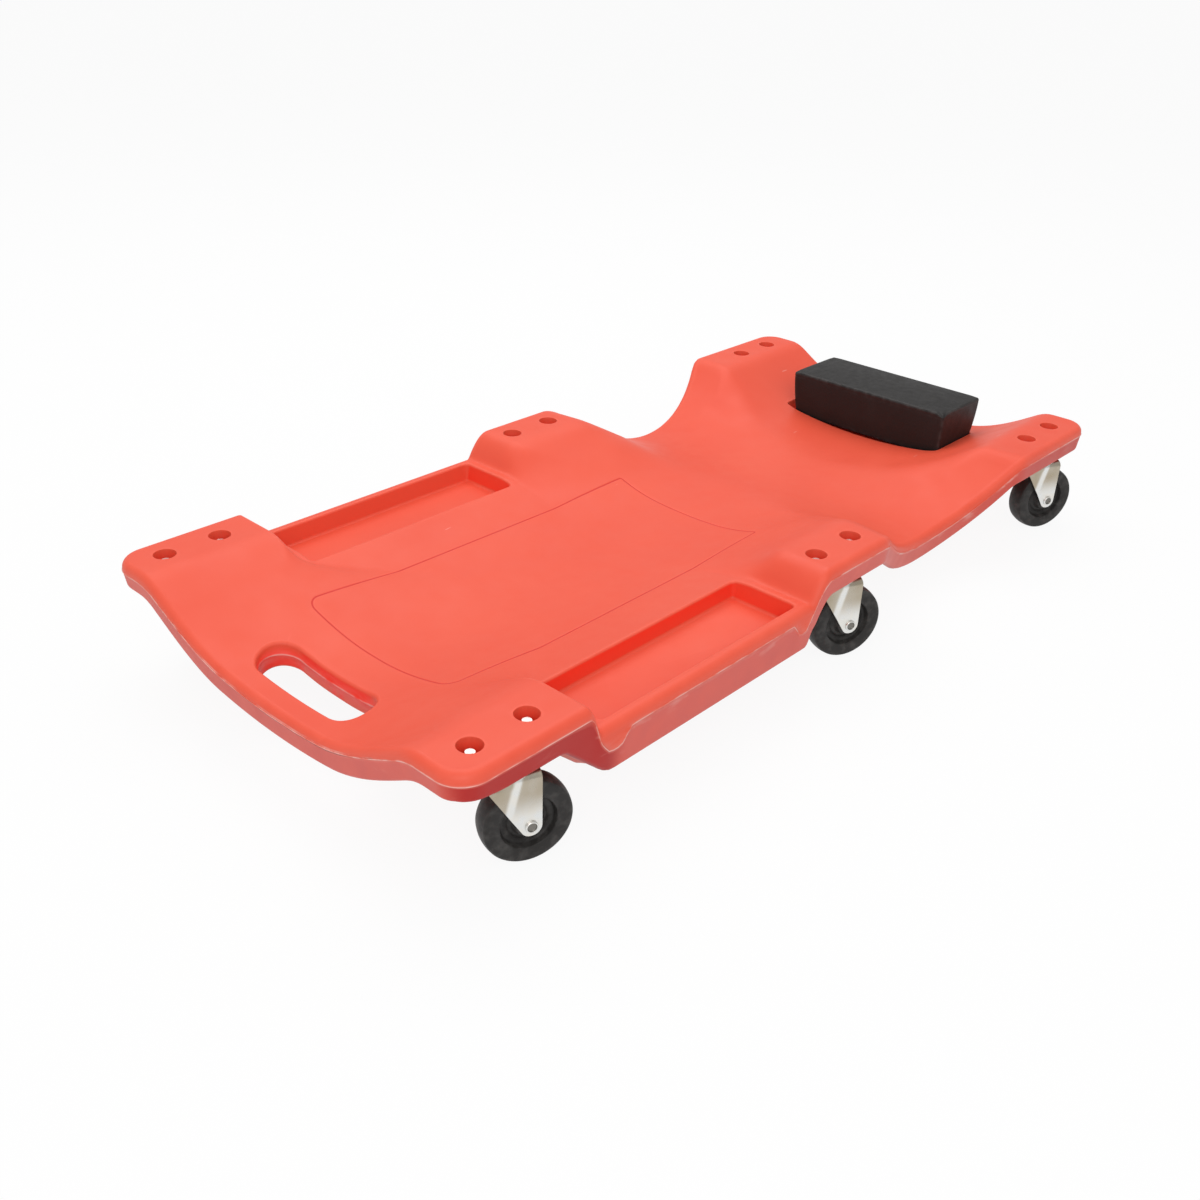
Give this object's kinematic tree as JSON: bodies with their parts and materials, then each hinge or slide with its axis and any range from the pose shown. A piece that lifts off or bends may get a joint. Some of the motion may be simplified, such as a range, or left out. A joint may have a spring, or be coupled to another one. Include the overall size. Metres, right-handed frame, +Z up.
{
  "type": "mechanic creeper",
  "caption": "Low rolling board for lying under a vehicle: dished moulded deck with caster pads, tool trays, hand slot, arm reliefs and a padded headrest.",
  "frame": {"origin": "on the floor, under the middle of the creeper", "axes": "+X from the foot end to the headrest end, +Y to the left of someone lying on their back, +Z up"},
  "size_m": [1.016, 0.4926, 0.1285],
  "materials": {
    "deck_plastic": "satin moulded red polyethylene",
    "headrest_vinyl": "satin black vinyl cover",
    "plywood": "raw plywood",
    "zinc_steel": "bright zinc plated",
    "wheel_plastic": "satin black hard plastic"
  },
  "bodies": {
    "deck": {"deck_shell": "deck_plastic", "headrest_cushion": "headrest_vinyl", "headrest_board": "plywood", "headrest_screws": "zinc_steel", "caster_bolts": "zinc_steel", "caster_washers": "zinc_steel", "caster_nuts": "zinc_steel", "foot_right_plate": "zinc_steel", "foot_right_balls": "zinc_steel", "foot_right_kingpin": "zinc_steel", "mid_right_plate": "zinc_steel", "mid_right_balls": "zinc_steel", "mid_right_kingpin": "zinc_steel", "head_right_plate": "zinc_steel", "head_right_balls": "zinc_steel", "head_right_kingpin": "zinc_steel", "foot_left_plate": "zinc_steel", "foot_left_balls": "zinc_steel", "foot_left_kingpin": "zinc_steel", "mid_left_plate": "zinc_steel", "mid_left_balls": "zinc_steel", "mid_left_kingpin": "zinc_steel", "head_left_plate": "zinc_steel", "head_left_balls": "zinc_steel", "head_left_kingpin": "zinc_steel"},
    "foot_right_swivel": {"foot_right_fork": "zinc_steel", "foot_right_axle": "zinc_steel", "foot_right_bush": "zinc_steel"},
    "foot_right_roller": {"foot_right_wheel": "wheel_plastic"},
    "mid_right_swivel": {"mid_right_fork": "zinc_steel", "mid_right_axle": "zinc_steel", "mid_right_bush": "zinc_steel"},
    "mid_right_roller": {"mid_right_wheel": "wheel_plastic"},
    "head_right_swivel": {"head_right_fork": "zinc_steel", "head_right_axle": "zinc_steel", "head_right_bush": "zinc_steel"},
    "head_right_roller": {"head_right_wheel": "wheel_plastic"},
    "foot_left_swivel": {"foot_left_fork": "zinc_steel", "foot_left_axle": "zinc_steel", "foot_left_bush": "zinc_steel"},
    "foot_left_roller": {"foot_left_wheel": "wheel_plastic"},
    "mid_left_swivel": {"mid_left_fork": "zinc_steel", "mid_left_axle": "zinc_steel", "mid_left_bush": "zinc_steel"},
    "mid_left_roller": {"mid_left_wheel": "wheel_plastic"},
    "head_left_swivel": {"head_left_fork": "zinc_steel", "head_left_axle": "zinc_steel", "head_left_bush": "zinc_steel"},
    "head_left_roller": {"head_left_wheel": "wheel_plastic"}
  },
  "joints": [
    {"name": "foot_right_swivel_turn", "type": "hinge", "parent": "deck", "child": "foot_right_swivel", "pos_m": [-0.441, -0.215, 0.09], "axis": [0, 0, 1], "continuous": true},
    {"name": "foot_right_wheel_roll", "type": "hinge", "parent": "foot_right_swivel", "child": "foot_right_roller", "pos_m": [-0.4257, -0.22118, 0.0385], "axis": [0.3746, 0.9272, 0], "continuous": true},
    {"name": "mid_right_swivel_turn", "type": "hinge", "parent": "deck", "child": "mid_right_swivel", "pos_m": [-0.001, -0.215, 0.09], "axis": [0, 0, 1], "continuous": true},
    {"name": "mid_right_wheel_roll", "type": "hinge", "parent": "mid_right_swivel", "child": "mid_right_roller", "pos_m": [0.01407, -0.22171, 0.0385], "axis": [0.4067, 0.9135, 0], "continuous": true},
    {"name": "head_right_swivel_turn", "type": "hinge", "parent": "deck", "child": "head_right_swivel", "pos_m": [0.429, -0.215, 0.09], "axis": [0, 0, 1], "continuous": true},
    {"name": "head_right_wheel_roll", "type": "hinge", "parent": "head_right_swivel", "child": "head_right_roller", "pos_m": [0.44395, -0.22197, 0.0385], "axis": [0.4226, 0.9063, 0], "continuous": true},
    {"name": "foot_left_swivel_turn", "type": "hinge", "parent": "deck", "child": "foot_left_swivel", "pos_m": [-0.441, 0.215, 0.09], "axis": [0, 0, 1], "continuous": true},
    {"name": "foot_left_wheel_roll", "type": "hinge", "parent": "foot_left_swivel", "child": "foot_left_roller", "pos_m": [-0.4257, 0.22118, 0.0385], "axis": [-0.3746, 0.9272, 0], "continuous": true},
    {"name": "mid_left_swivel_turn", "type": "hinge", "parent": "deck", "child": "mid_left_swivel", "pos_m": [-0.001, 0.215, 0.09], "axis": [0, 0, 1], "continuous": true},
    {"name": "mid_left_wheel_roll", "type": "hinge", "parent": "mid_left_swivel", "child": "mid_left_roller", "pos_m": [0.01407, 0.22171, 0.0385], "axis": [-0.4067, 0.9135, 0], "continuous": true},
    {"name": "head_left_swivel_turn", "type": "hinge", "parent": "deck", "child": "head_left_swivel", "pos_m": [0.429, 0.215, 0.09], "axis": [0, 0, 1], "continuous": true},
    {"name": "head_left_wheel_roll", "type": "hinge", "parent": "head_left_swivel", "child": "head_left_roller", "pos_m": [0.44395, 0.22197, 0.0385], "axis": [-0.4226, 0.9063, 0], "continuous": true}
  ]
}
